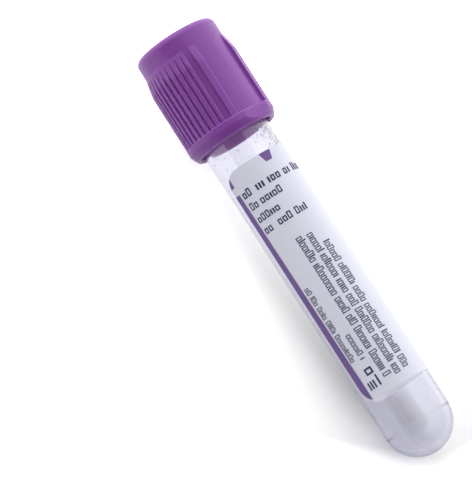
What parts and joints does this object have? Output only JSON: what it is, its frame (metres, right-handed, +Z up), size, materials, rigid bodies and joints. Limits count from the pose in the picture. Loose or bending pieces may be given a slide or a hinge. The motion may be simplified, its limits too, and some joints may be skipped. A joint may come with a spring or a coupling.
{
  "type": "blood collection tube",
  "caption": "Capped blood collection tube: clear round-ended plastic tube with a wrapped label, closed by a rubber stopper in a ribbed purple plastic shield.",
  "frame": {"origin": "bottom centre of the bounding box, on the surface the tube lies on, under the middle of its length", "axes": "+X along the lying tube, level, towards its round end; +Z up; the closure is at -X"},
  "size_m": [0.0862, 0.0172, 0.0166],
  "materials": {
    "clear_plastic": "clear moulded polyester, gloss",
    "label_film": "matte white printed film",
    "additive": "dull white dried droplets",
    "stopper_rubber": "matte purple rubber",
    "shield_plastic": "satin purple moulded plastic"
  },
  "bodies": {
    "tube_body": {"tube": "clear_plastic", "label": "label_film", "dried_additive": "additive"},
    "closure": {"closure_shield": "shield_plastic", "stopper": "stopper_rubber"}
  },
  "joints": [
    {"name": "closure_pull", "type": "slide", "parent": "tube_body", "child": "closure", "axis": [-0.9996, 0, 0.029], "range_m": [0, 0.025]}
  ]
}
